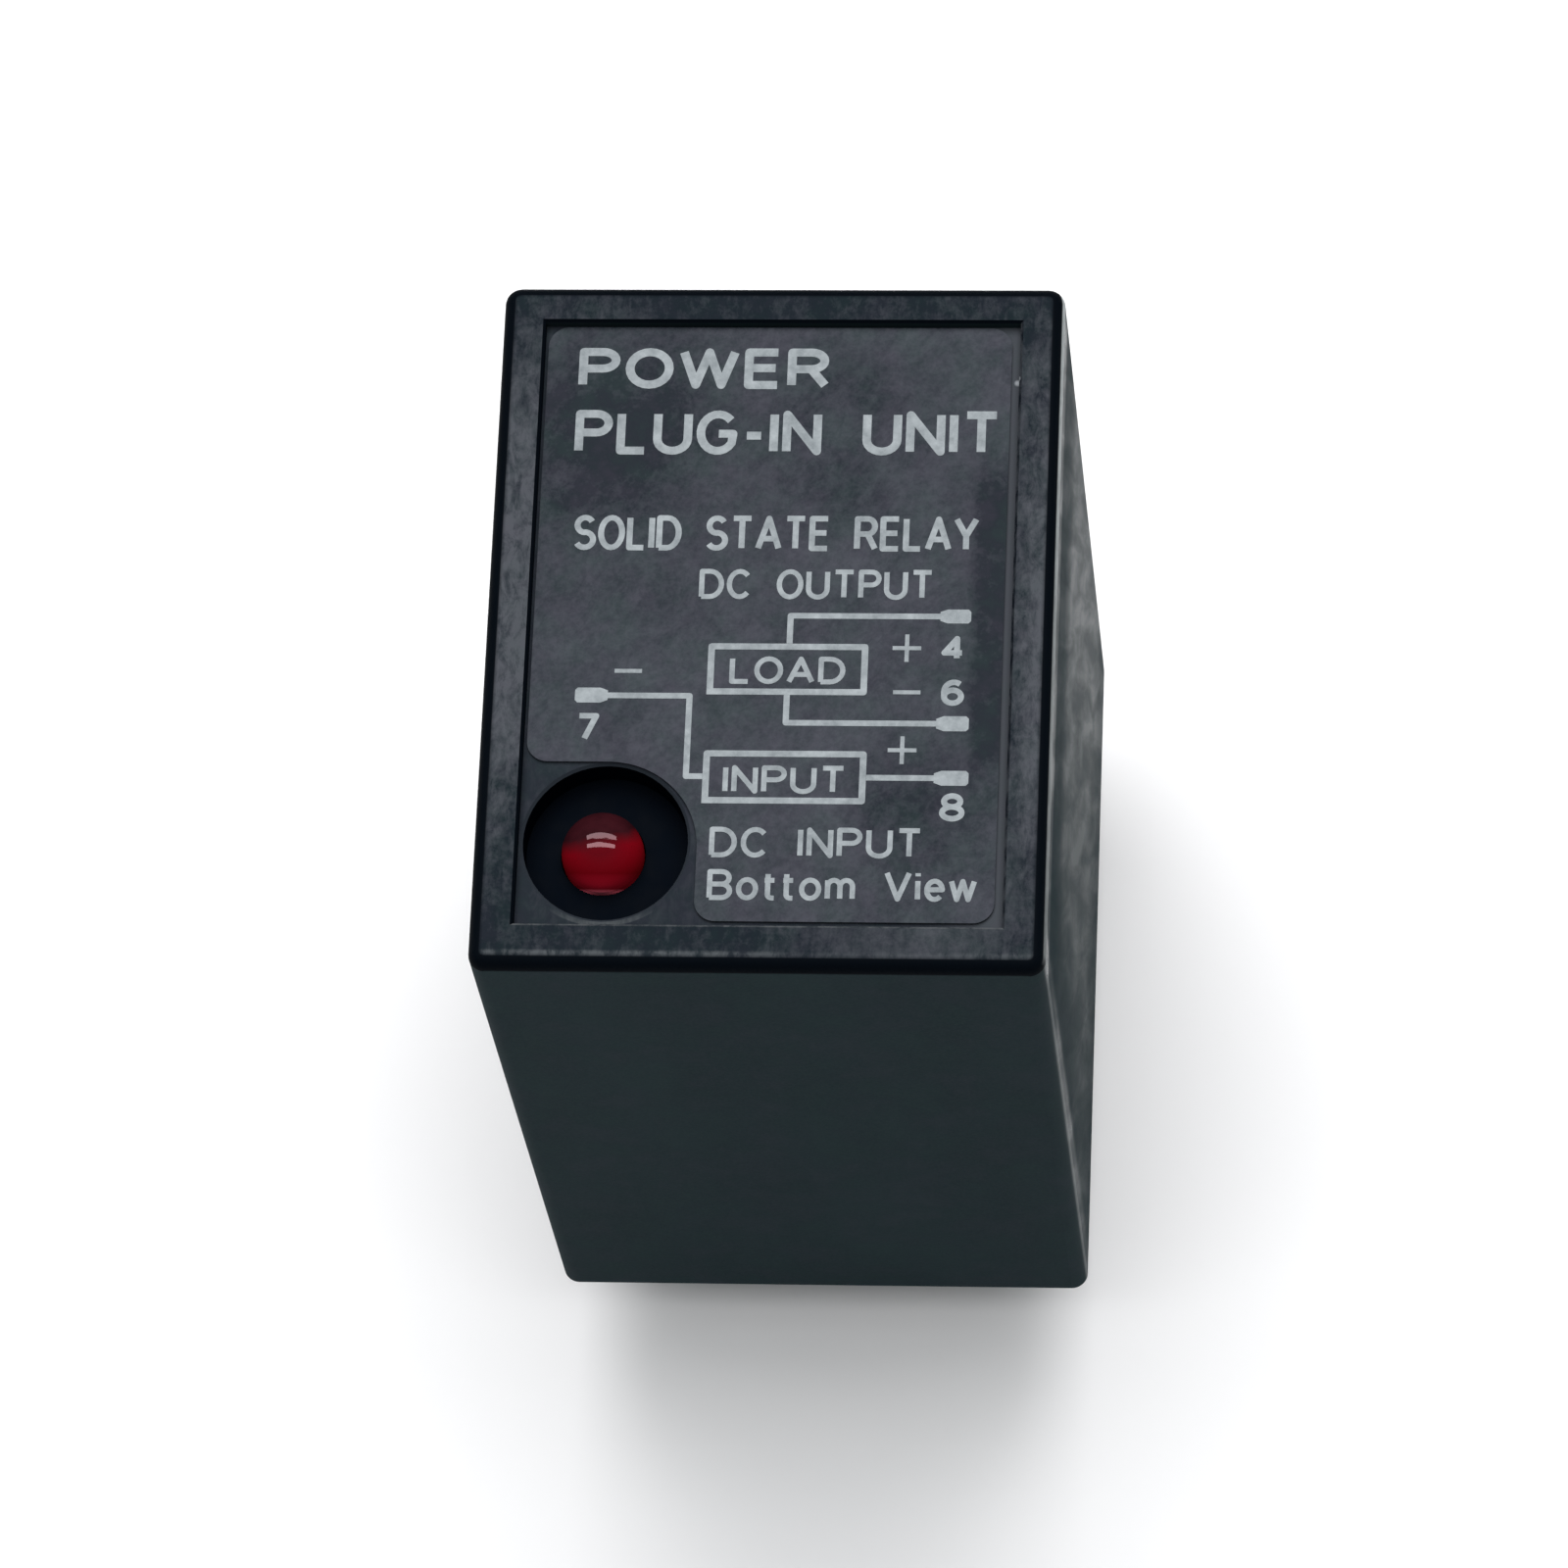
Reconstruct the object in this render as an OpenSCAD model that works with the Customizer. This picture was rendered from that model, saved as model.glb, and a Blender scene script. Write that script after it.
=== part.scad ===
// Plug-in solid state relay: a moulded cover over a base with flat blades, a
// label and an indicator lamp on top, and a switching circuit inside.
// The origin is the centre of the face that meets the socket. +Z is up, +X is
// to the right of the label and +Y is away from the lamp. Millimetres.

/* [Case] */
// Width of the cover, along X
case_w = 21.5; // [21.5:0.25:23]
// Length of the cover, along Y
case_l = 28; // [28:0.25:30]
// Height of the cover above the socket
case_h = 36; // [36:0.5:40]
// Thickness of the cover's side walls
wall = 1.2; // [1:0.1:1.3]
// Thickness of the cover's roof at its rim
roof = 1.8; // [1.6:0.1:2]
// Radius of the four upright corners
corner_r = 0.65; // [0.65:0.05:1]
// Radius round the edge of the roof
roof_edge_r = 0.55; // [0.3:0.05:0.6]

/* [Label] */
// Width of the recess that holds the label
recess_w = 18.2; // [18.1:0.1:18.5]
// Length of the recess that holds the label
recess_l = 24.7; // [24.7:0.1:25]
// Place of the recess along the roof
recess_y = 0.1; // [0.1:0.05:0.15]
// Depth of the recess
recess_depth = 0.5; // [0.3:0.05:0.6]
// Width of the label film
label_w = 17.75; // [17.5:0.05:17.8]
// Length of the label film
label_l = 24.35; // [24:0.05:24.4]
// Thickness of the label film
label_t = 0.12; // [0.05:0.01:0.2]
// Radius of the label's corners
label_corner_r = 0.8; // [0.5:0.1:1]

/* [Lamp] */
// Place of the lamp's window across the roof
window_x = -5.85; // [-5.9:0.05:-5.8]
// Place of the lamp and its window along the roof
lamp_y = -8.8; // [-8.9:0.1:-8.6]
// Diameter of the lamp's lens
lamp_d = 3.1; // [2.9:0.1:3.1]
// Diameter of the window in the roof
window_d = 6.2; // [5.9:0.1:6.2]
// How far the lens stays below the rim
lamp_sink = 0.15; // [0.1:0.05:0.4]

/* [Terminals] */
// Width of a blade
blade_w = 4.7; // [4.5:0.1:4.8]
// Thickness of a blade
blade_t = 0.5; // [0.4:0.1:0.6]
// Length of a blade below the socket face
blade_len = 6.4; // [5.5:0.1:7]
// Distance between the two columns of blades
column_pitch = 10; // [9.8:0.1:10.2]
// Place of the row of input blades
input_row_y = -9.9; // [-10:0.1:-9.7]
// Distance from the input row to the common row
common_step = 7.2; // [7:0.1:7.4]
// Distance from the common row to the load row
load_step = 6.3; // [6.1:0.1:6.5]
// Distance from the load row to the unused row
spare_step = 4.7; // [4.5:0.1:4.9]

/* [Inside] */
// Thickness of the base plate
base_t = 3; // [2.8:0.1:3.2]
// Thickness of the circuit board
board_t = 1.2; // [1:0.1:1.4]
// Thickness of the heat spreader
spreader_t = 1.5; // [1.2:0.1:1.6]

/* [Hidden] */
$fn = 48;
cut = 0.5;                               // how far a cutter reaches past a face

// The space inside the cover
inner_w = case_w - 2 * wall;
inner_l = case_l - 2 * wall;
inner_r = 0.4;
ceiling_z = case_h - roof;
floor_z = case_h - recess_depth;         // the floor of the label's recess
edge_bevel = 0.1;                        // on the rims of the recess and the window
label_shift = [-0.1, 0.2];               // the label is stuck on a little off centre

// The base plate, its seal groove and its four snap ridges
base_gap = 0.1;
base_w = inner_w - 2 * base_gap;
base_l = inner_l - 2 * base_gap;
seal_h = 0.8;
seal_inset = 0.5;
seal_lift = 0.15;
snap_z = 1.5;
snap_h = 1;
snap_out = 0.35;
snap_len = 6;
snap_y = 7;
snap_play = 0.1;

// Where the blades stand
column_x = column_pitch / 2;
common_row_y = input_row_y + common_step;
load_row_y = common_row_y + load_step;
spare_row_y = load_row_y + spare_step;
blank_places = [
    [-column_x, spare_row_y], [column_x, spare_row_y],
    [column_x, load_row_y], [column_x, common_row_y]
];
blade_places = [
    [-column_x, load_row_y], [-column_x, common_row_y],
    [column_x, input_row_y], [-column_x, input_row_y]
];
slot_play = 0.05;
blank_depth = 1;
shoulder_out = 0.5;
shoulder_h = 0.9;
stem_w = 2.4;
stem_top = 7;
tip_bevel = 0.8;
eye_w = 1.2;
eye_l = 2.4;
eye_z = -3.4;

// The circuit board stands on edge between two rails
board_left = -1.2;
board_right = board_left + board_t;
board_l = 24;
board_top = ceiling_z - 4.7;
rail_t = 0.8;
rail_h = 1.5;
rail_gap = 0.05;
guide_depth = 0.9;

// Round leads, and how far they pass the board
lead_r = 0.3;
diode_lead_r = 0.4;
wire_r = 0.4;
lead_past = 0.6;
solder_r = 0.65;
solder_h = 0.5;

// Resistors lie in a stack, with their leads along Y
resistor_y = 7.2;
resistor_zs = [12.5, 15.7, 18.9];
resistor_pitch = 7.62;
resistor_d = 2.4;
resistor_body_l = 5.6;
resistor_x = board_left - 1.4;

// The diode stands beside them, with its leads along Z
diode_y = -4.2;
diode_z = 18.5;
diode_pitch = 10.16;
diode_d = 2.7;
diode_body_l = 5.2;
diode_x = board_left - 1.6;

// The photocoupler is a four-leg package
coupler_y = 7;
coupler_z = 23.5;
coupler_l = 6.4;
coupler_w = 4.6;
coupler_h = 3.4;
coupler_lift = 0.5;
coupler_span = 7.62;
coupler_pitch = 2.54;
coupler_leg_t = 0.25;
coupler_leg_w = 0.5;

// The capacitor, the driver transistor and the varistor stand off the board
capacitor_y = -9;
capacitor_z = 15.5;
capacitor_d = 5;
capacitor_l = 6.8;
capacitor_pitch = 2;
driver_y = 0.3;
driver_z = 17;
driver_pitch = 1.27;
driver_lift = 1.8;
driver_l = 4.6;
driver_d = 4.6;
driver_flat = 1.3;
varistor_y = 0.2;
varistor_z = 27;
varistor_d = 7;
varistor_t = 3;
varistor_pitch = 5;
varistor_lift = 0.7;

// The power transistor is screwed to the heat spreader
spreader_right = inner_w / 2 - 0.65;
spreader_left = spreader_right - spreader_t;
spreader_y0 = -8.5;
spreader_y1 = 11;
spreader_top = board_top + 1.9;
spreader_lip_x = 1.2;
pad_t = 0.2;
power_y = -1;
power_z = 14;
power_w = 10.2;
power_body_h = 9.2;
power_tab_h = 15.6;
power_tab_t = 1.3;
power_body_t = 3.2;
power_back = spreader_left - pad_t;
power_front = power_back - power_tab_t;
power_leg_pitch = 2.54;
power_leg_w = 0.8;
power_leg_t = 0.5;
power_leg_z = 11;
power_leg_x = power_front - 0.9;
screw_z = power_z + 12.4;
screw_r = 1.5;
screw_head_r = 2.7;
screw_head_h = 2;
screw_play = 0.05;
tab_hole_r = 1.8;

// The lamp, its holder and the place where its leads meet the board
lamp_x = window_x - 0.2;
lamp_top = case_h - lamp_sink;
lamp_foot = lamp_top - 5.3;
lamp_flange_h = 1;
lamp_flange_out = 0.4;
lamp_pitch = 2.54;
lamp_lead_z = board_top - 2.5;
holder_d = 7.2;
holder_play = 0.05;
holder_floor = ceiling_z - 0.1;
holder_foot = lamp_foot + lamp_flange_h;

// The solid wires that join the blades to the board
wire_foot = 4.6;
wire_level = 8.2;
wire_7_level = 10.4;
wire_offset = blade_t / 2 + wire_r;
wire_bend = 0.9;
lead_bend = 0.6;

// Places of the leads on the board: [y, z, radius of the lead]
left_leads = concat(
    [for (z = resistor_zs, s = [-1, 1]) [resistor_y + s * resistor_pitch / 2, z, lead_r]],
    [for (s = [-1, 1]) [diode_y, diode_z + s * diode_pitch / 2, diode_lead_r]],
    [for (s = [-1, 1], t = [-1, 1])
        [coupler_y + s * coupler_span / 2, coupler_z + t * coupler_pitch / 2, lead_r]],
    [for (s = [-1, 1]) [capacitor_y + s * capacitor_pitch / 2, capacitor_z, lead_r]],
    [for (i = [-1:1]) [driver_y + i * driver_pitch, driver_z, lead_r]],
    [for (s = [-1, 1]) [varistor_y + s * varistor_pitch / 2, varistor_z, lead_r]],
    [for (s = [-1, 1]) [lamp_y + s * lamp_pitch / 2, lamp_lead_z, lead_r]],
    [for (y = [load_row_y, common_row_y, input_row_y]) [y + wire_offset, wire_level, wire_r]]
);
right_leads = concat(
    [for (i = [-1:1]) [power_y + i * power_leg_pitch, power_leg_z, power_leg_w / 2 + 0.1]],
    [[input_row_y + wire_offset, wire_7_level, wire_r]]
);

// ---- shared shapes ----

// A rectangle with round corners, centred
module round_plan(w, l, r) {
    square([w - 2 * r, l], center = true);
    square([w, l - 2 * r], center = true);
    for (sx = [-1, 1], sy = [-1, 1])
        translate([sx * (w / 2 - r), sy * (l / 2 - r)]) circle(r);
}

// The side view of a block whose two top edges are round
module round_top_profile(w, h, r) {
    translate([-w / 2, 0]) square([w, h - r]);
    translate([-w / 2 + r, 0]) square([w - 2 * r, h]);
    for (s = [-1, 1]) translate([s * (w / 2 - r), h - r]) circle(r);
}

// A block with round upright corners (r) and a round top edge (edge_r)
module round_top_block(w, l, h, r, edge_r) {
    rotate([90, 0, 0])
        linear_extrude(l - 2 * r, center = true) round_top_profile(w, h, edge_r);
    rotate([90, 0, 90])
        linear_extrude(w - 2 * r, center = true) round_top_profile(l, h, edge_r);
    for (sx = [-1, 1], sy = [-1, 1])
        translate([sx * (w / 2 - r), sy * (l / 2 - r), 0])
            rotate_extrude()
                intersection() {
                    round_top_profile(2 * r, h, edge_r);
                    square([r, h]);
                }
}

// A block that widens by its height on every side, centred
module flare(w, l, h) {
    intersection() {
        rotate([90, 0, 0]) linear_extrude(l + 4 * h, center = true)
            polygon([[-w / 2, 0], [w / 2, 0], [w / 2 + h, h], [-w / 2 - h, h]]);
        rotate([90, 0, 90]) linear_extrude(w + 4 * h, center = true)
            polygon([[-l / 2, 0], [l / 2, 0], [l / 2 + h, h], [-l / 2 - h, h]]);
    }
}

// A box from its lowest corner to its highest
module span_box(low, high) {
    translate(low) cube(high - low);
}

// A round wire that rises along +Z and then runs along +X, with one bend
module bent_wire(rise, run, r, bend) {
    cylinder(h = rise - bend, r = r);
    translate([bend, 0, rise - bend])
        rotate([90, 0, 180]) rotate_extrude(angle = 90) translate([bend, 0]) circle(r);
    translate([bend, 0, rise]) rotate([0, 90, 0]) cylinder(h = run - bend, r = r);
}

// A flat leg that rises along +Z and then runs along +X, with a square bend
module bent_strip(rise, run, w, t) {
    rotate([90, 0, 0])
        linear_extrude(w, center = true)
            polygon([
                [-t / 2, 0], [t / 2, 0], [t / 2, rise - t / 2],
                [run, rise - t / 2], [run, rise + t / 2], [-t / 2, rise + t / 2]
            ]);
}

// Turns what rises along +Z so that it rises along +Y or -Y instead
module rise_along_y(s) {
    rotate([-s * 90, 0, 0]) children();
}

// A cylinder along +X from x0 to x1
module x_rod(x0, x1, y, z, r) {
    translate([x0, y, z]) rotate([0, 90, 0]) cylinder(h = x1 - x0, r = r);
}

// ---- outside ----

module case_cover() color("#23292b") difference() {
    union() {
        difference() {
            round_top_block(case_w, case_l, case_h, corner_r, roof_edge_r);
            translate([0, 0, -cut])
                linear_extrude(ceiling_z + cut) round_plan(inner_w, inner_l, inner_r);
        }
        // Guides for the edges of the circuit board
        for (s = [-1, 1], x = [board_left - rail_gap - rail_t, board_right + rail_gap])
            translate([x, s > 0 ? inner_l / 2 - guide_depth : -inner_l / 2, base_t * 2])
                cube([rail_t, guide_depth, ceiling_z - base_t * 2]);
    }
    translate([-recess_w / 2, recess_y - recess_l / 2, floor_z]) cube([recess_w, recess_l, roof]);
    translate([0, recess_y, case_h - edge_bevel]) flare(recess_w, recess_l, 2 * edge_bevel);
    translate([window_x, lamp_y, ceiling_z - cut]) cylinder(h = roof + 2 * cut, d = window_d);
    translate([window_x, lamp_y, floor_z - edge_bevel])
        cylinder(h = 2 * edge_bevel, d1 = window_d, d2 = window_d + 4 * edge_bevel);
    // Grooves that the snap ridges of the base click into
    for (sx = [-1, 1], sy = [-1, 1])
        translate([sx * inner_w / 2, sy * snap_y, snap_z + snap_h / 2])
            cube([2 * (snap_out - base_gap + snap_play), snap_len + 2 * snap_play,
                snap_h + 2 * snap_play], center = true);
}

module terminal_base() color("#1d2123") difference() {
    union() {
        translate([0, 0, seal_h]) linear_extrude(base_t - seal_h) round_plan(base_w, base_l, inner_r);
        linear_extrude(seal_h)
            round_plan(base_w - 2 * seal_inset, base_l - 2 * seal_inset, inner_r);
        // Snap ridges on the two long sides
        for (sx = [-1, 1], sy = [-1, 1])
            translate([sx * base_w / 2, sy * snap_y, snap_z])
                rotate([90, 0, 0])
                    linear_extrude(snap_len, center = true)
                        polygon([[0, 0], [sx * snap_out, snap_h / 2], [0, snap_h], [-sx * 1, snap_h], [-sx * 1, 0]]);
        // Rails that hold the lower edge of the circuit board
        for (x = [board_left - rail_gap - rail_t, board_right + rail_gap], y = [-10.5, -2, 6.5])
            translate([x, y, base_t]) cube([rail_t, 4, rail_h]);
        // Rails that hold the foot of the heat spreader
        for (y = [-6, 5])
            translate([spreader_left - rail_gap - rail_t, y, base_t]) cube([rail_t, 4, rail_h]);
    }
    // Slots for the blades
    for (p = blade_places)
        translate([p[0], p[1], base_t / 2])
            cube([blade_w + 2 * slot_play, blade_t + 2 * slot_play, base_t + 2 * cut], center = true);
    // Blind slots where another relay of the family has more blades
    for (p = blank_places)
        translate([p[0], p[1], 0])
            cube([blade_w + 2 * slot_play, blade_t + 2 * slot_play, 2 * blank_depth], center = true);
}

module seal_bead() color("#15171a") translate([0, 0, seal_lift]) linear_extrude(seal_h - seal_lift)
    difference() {
        round_plan(inner_w, inner_l, inner_r);
        round_plan(base_w - 2 * seal_inset, base_l - 2 * seal_inset, inner_r);
    }

// The label leaves the lamp's corner free, with a round inner corner that
// follows the window
module label_plan() {
    free_r = window_d / 2 + 0.35;
    free_x = window_x + free_r;
    free_y = lamp_y + free_r - 0.25;
    right_w = label_shift[0] + label_w / 2 - free_x;
    upper_l = label_shift[1] + label_l / 2 - free_y;
    translate([label_shift[0], free_y + upper_l / 2]) round_plan(label_w, upper_l, label_corner_r);
    translate([free_x + right_w / 2, label_shift[1]]) round_plan(right_w, label_l, label_corner_r);
    translate([free_x - free_r, free_y - free_r]) difference() {
        square(free_r + label_corner_r);
        circle(free_r);
    }
}

module label_film() color("#3c3f46")
    translate([0, 0, floor_z]) linear_extrude(label_t) label_plan();

// A flat blade with a solder eye below, a shoulder on the base and a stem above
module terminal(x, y) color("#c9c9c4") translate([x, y, 0]) rotate([90, 0, 0])
    linear_extrude(blade_t, center = true) difference() {
        polygon([
            [-blade_w / 2 + tip_bevel, -blade_len], [blade_w / 2 - tip_bevel, -blade_len],
            [blade_w / 2, -blade_len + tip_bevel], [blade_w / 2, base_t],
            [blade_w / 2 + shoulder_out, base_t], [blade_w / 2 + shoulder_out, base_t + shoulder_h],
            [stem_w / 2, base_t + shoulder_h], [stem_w / 2, stem_top],
            [-stem_w / 2, stem_top], [-stem_w / 2, base_t + shoulder_h],
            [-blade_w / 2 - shoulder_out, base_t + shoulder_h], [-blade_w / 2 - shoulder_out, base_t],
            [-blade_w / 2, base_t], [-blade_w / 2, -blade_len + tip_bevel]
        ]);
        translate([0, eye_z]) {
            square([eye_w, eye_l - eye_w], center = true);
            for (s = [-1, 1]) translate([0, s * (eye_l - eye_w) / 2]) circle(d = eye_w);
        }
    }

module terminal_4() terminal(-column_x, load_row_y);
module terminal_6() terminal(-column_x, common_row_y);
module terminal_7() terminal(column_x, input_row_y);
module terminal_8() terminal(-column_x, input_row_y);

// ---- lamp ----

module lamp_lens() color("#b0101c") translate([lamp_x, lamp_y, lamp_foot])
    rotate_extrude() intersection() {
        union() {
            square([lamp_d / 2 + lamp_flange_out, lamp_flange_h]);
            square([lamp_d / 2, lamp_top - lamp_foot - lamp_d / 2]);
            translate([0, lamp_top - lamp_foot - lamp_d / 2]) circle(d = lamp_d);
        }
        square([lamp_d, lamp_top]);
    }

module lamp_leads() color("#bfc2c4") for (s = [-1, 1])
    translate([lamp_x, lamp_y + s * lamp_pitch / 2, lamp_foot]) mirror([0, 0, 1])
        bent_wire(lamp_foot - lamp_lead_z, board_right + lead_past - lamp_x, lead_r, lead_bend);

module lamp_holder() color("#141618") difference() {
    translate([window_x, lamp_y, holder_foot]) cylinder(h = ceiling_z - holder_foot, d = holder_d);
    translate([window_x, lamp_y, holder_floor]) cylinder(h = roof, d = window_d);
    translate([lamp_x, lamp_y, holder_foot - cut])
        cylinder(h = holder_floor - holder_foot + 2 * cut, d = lamp_d + 2 * holder_play);
}

// ---- circuit board ----

module circuit_board() color("#2f5d3a") difference() {
    span_box([board_left, -board_l / 2, base_t], [board_right, board_l / 2, board_top]);
    for (p = concat(left_leads, right_leads))
        x_rod(board_left - cut, board_right + cut, p[0], p[1], p[2] + 0.1);
}

module solder_joints() color("#a9adb0") {
    for (p = left_leads) difference() {
        translate([board_right, p[0], p[1]]) rotate([0, 90, 0])
            cylinder(h = solder_h, r1 = max(solder_r, p[2] + 0.25), r2 = p[2] + 0.1);
        x_rod(board_right - cut, board_right + cut + solder_h, p[0], p[1], p[2]);
    }
    for (p = right_leads) difference() {
        translate([board_left, p[0], p[1]]) rotate([0, -90, 0])
            cylinder(h = solder_h, r1 = max(solder_r, p[2] + 0.25), r2 = p[2] + 0.1);
        x_rod(board_left - cut - solder_h, board_left + cut, p[0], p[1], p[2]);
    }
}

// A resistor body with its two end bulges
module resistor(z) translate([resistor_x, resistor_y - resistor_body_l / 2, z]) rise_along_y(1)
    rotate_extrude() {
        square([resistor_d / 2 - 0.2, resistor_body_l]);
        square([resistor_d / 2, 1.4]);
        translate([0, resistor_body_l - 1.4]) square([resistor_d / 2, 1.4]);
    }

module input_resistor() color("#c9b58a") resistor(resistor_zs[0]);
module lamp_resistor() color("#c9b58a") resistor(resistor_zs[1]);
module bias_resistor() color("#c9b58a") resistor(resistor_zs[2]);

module resistor_leads() color("#bfc2c4") for (z = resistor_zs, s = [-1, 1])
    translate([resistor_x, resistor_y + s * resistor_body_l / 2, z]) rise_along_y(s)
        bent_wire((resistor_pitch - resistor_body_l) / 2, board_right + lead_past - resistor_x,
            lead_r, lead_bend);

module protection_diode() color("#26282b") translate([diode_x, diode_y, diode_z])
    cylinder(h = diode_body_l, d = diode_d, center = true);

module diode_leads() color("#bfc2c4") for (s = [-1, 1])
    translate([diode_x, diode_y, diode_z + s * diode_body_l / 2]) mirror([0, 0, s > 0 ? 0 : 1])
        bent_wire((diode_pitch - diode_body_l) / 2, board_right + lead_past - diode_x,
            diode_lead_r, 2 * diode_lead_r);

module photocoupler() color("#1e2022")
    translate([board_left - coupler_lift - coupler_h, coupler_y - coupler_l / 2, coupler_z - coupler_w / 2])
        difference() {
            cube([coupler_h, coupler_l, coupler_w]);
            // Notch that marks the first leg
            translate([-cut, coupler_l / 2, coupler_w]) rotate([0, 90, 0])
                cylinder(h = 2 * cut, r = 0.7);
        }

module photocoupler_legs() color("#bfc2c4") for (s = [-1, 1], t = [-1, 1])
    translate([board_left - coupler_lift - coupler_h / 2, coupler_y + s * coupler_l / 2,
            coupler_z + t * coupler_pitch / 2])
        rise_along_y(s) bent_strip((coupler_span - coupler_l) / 2,
            board_right + lead_past - board_left + coupler_lift + coupler_h / 2,
            coupler_leg_w, coupler_leg_t);

module filter_capacitor() color("#2a3550")
    translate([board_left - 0.2, capacitor_y, capacitor_z]) rotate([0, -90, 0]) rotate_extrude() {
        square([capacitor_d / 2, 0.9]);
        square([capacitor_d / 2 - 0.25, capacitor_l]);
        translate([0, 1.3]) square([capacitor_d / 2, capacitor_l - 1.3]);
    }

module capacitor_leads() color("#bfc2c4") for (s = [-1, 1])
    x_rod(board_left - 0.2, board_right + lead_past, capacitor_y + s * capacitor_pitch / 2,
        capacitor_z, lead_r);

module driver_transistor() color("#1b1c1e")
    translate([board_left - driver_lift, driver_y, driver_z]) rotate([0, -90, 0])
        linear_extrude(driver_l) difference() {
            circle(d = driver_d);
            translate([driver_flat, -driver_d / 2]) square(driver_d);
        }

module driver_legs() color("#bfc2c4") for (i = [-1:1])
    x_rod(board_left - driver_lift, board_right + lead_past, driver_y + i * driver_pitch,
        driver_z, lead_r);

module surge_varistor() color("#3f6fa8")
    translate([board_left - varistor_lift - varistor_d / 2, varistor_y, varistor_z])
        cylinder(h = varistor_t, d = varistor_d, center = true);

// The leads start on the round edge of the disc
module varistor_leads() color("#bfc2c4") for (s = [-1, 1]) difference() {
    x_rod(board_left - varistor_lift - varistor_d / 2, board_right + lead_past,
        varistor_y + s * varistor_pitch / 2, varistor_z, lead_r);
    surge_varistor();
}

// ---- output stage ----

module power_transistor() color("#1b1c1e")
    translate([0, power_y, power_z]) rotate([90, 0, 0]) linear_extrude(power_w, center = true)
        polygon([
            [power_front, 0], [power_front - power_body_t + 0.3, 0],
            [power_front - power_body_t, power_body_h * 0.3],
            [power_front - power_body_t, power_body_h - 0.4],
            [power_front - power_body_t + 0.4, power_body_h], [power_front, power_body_h]
        ]);

module power_tab() color("#b9bcbe") difference() {
    span_box([power_front, power_y - power_w / 2, power_z],
        [power_back, power_y + power_w / 2, power_z + power_tab_h]);
    x_rod(power_front - cut, power_back + cut, power_y, screw_z, tab_hole_r);
}

module power_legs() color("#bfc2c4") for (i = [-1:1])
    translate([power_leg_x, power_y + i * power_leg_pitch, power_z]) rotate([0, 180, 0])
        bent_strip(power_z - power_leg_z, power_leg_x - board_left + lead_past,
            power_leg_w, power_leg_t);

module thermal_pad() color("#d9d4c8") difference() {
    span_box([power_back, power_y - power_w / 2 - 0.5, power_z - 0.5],
        [spreader_left, power_y + power_w / 2 + 0.5, power_z + power_tab_h + 0.2]);
    x_rod(power_back - cut, spreader_left + cut, power_y, screw_z, tab_hole_r);
}

module tab_screw() color("#9fa3a6") difference() {
    union() {
        x_rod(power_front - screw_head_h, power_front, power_y, screw_z, screw_head_r);
        x_rod(power_front, spreader_right, power_y, screw_z, screw_r);
    }
    // Cross recess
    translate([power_front - screw_head_h, power_y, screw_z]) {
        cube([1.6, 3, 0.6], center = true);
        cube([1.6, 0.6, 3], center = true);
    }
}

module heat_spreader() color("#c3c6c8") difference() {
    union() {
        span_box([spreader_left, spreader_y0, base_t], [spreader_right, spreader_y1, spreader_top]);
        span_box([spreader_lip_x, spreader_y0, spreader_top - spreader_t],
            [spreader_right, spreader_y1, spreader_top]);
    }
    x_rod(spreader_left - cut, spreader_right + cut, power_y, screw_z, screw_r + screw_play);
}

// ---- wires ----

// A solid wire from the stem of a left-hand blade up and across to the board
module left_wire(y) color("#b5764a") translate([-column_x, y + wire_offset, wire_foot])
    bent_wire(wire_level - wire_foot, board_right + lead_past + column_x, wire_r, wire_bend);

module wire_4() left_wire(load_row_y);
module wire_6() left_wire(common_row_y);
module wire_8() left_wire(input_row_y);
module wire_7() color("#b5764a") translate([column_x, input_row_y + wire_offset, wire_foot])
    mirror([1, 0, 0])
        bent_wire(wire_7_level - wire_foot, column_x - board_left + lead_past, wire_r, wire_bend);

case_cover();
terminal_base();
seal_bead();
label_film();
terminal_4();
terminal_6();
terminal_7();
terminal_8();
wire_4();
wire_6();
wire_7();
wire_8();
lamp_lens();
lamp_leads();
lamp_holder();
circuit_board();
solder_joints();
input_resistor();
lamp_resistor();
bias_resistor();
resistor_leads();
protection_diode();
diode_leads();
photocoupler();
photocoupler_legs();
filter_capacitor();
capacitor_leads();
driver_transistor();
driver_legs();
surge_varistor();
varistor_leads();
power_transistor();
power_tab();
power_legs();
thermal_pad();
tab_screw();
heat_spreader();
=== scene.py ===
"""Looks for the plug-in solid state relay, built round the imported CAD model."""

import math

import bpy
from mathutils import Matrix, Vector
from mathutils.geometry import delaunay_2d_cdt


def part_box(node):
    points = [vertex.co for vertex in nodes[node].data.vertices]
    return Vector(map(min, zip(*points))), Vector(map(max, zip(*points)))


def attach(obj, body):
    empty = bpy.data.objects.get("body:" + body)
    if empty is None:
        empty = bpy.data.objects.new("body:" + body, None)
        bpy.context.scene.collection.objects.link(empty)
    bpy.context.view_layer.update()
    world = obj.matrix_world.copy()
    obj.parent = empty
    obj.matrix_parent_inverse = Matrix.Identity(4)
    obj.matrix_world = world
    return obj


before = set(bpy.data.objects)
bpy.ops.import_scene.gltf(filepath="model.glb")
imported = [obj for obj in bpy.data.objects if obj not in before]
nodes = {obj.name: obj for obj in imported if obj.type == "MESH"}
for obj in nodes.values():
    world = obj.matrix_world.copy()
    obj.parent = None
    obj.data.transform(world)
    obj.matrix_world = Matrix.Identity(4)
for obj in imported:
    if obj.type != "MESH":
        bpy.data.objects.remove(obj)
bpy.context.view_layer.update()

MM = 0.001

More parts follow.
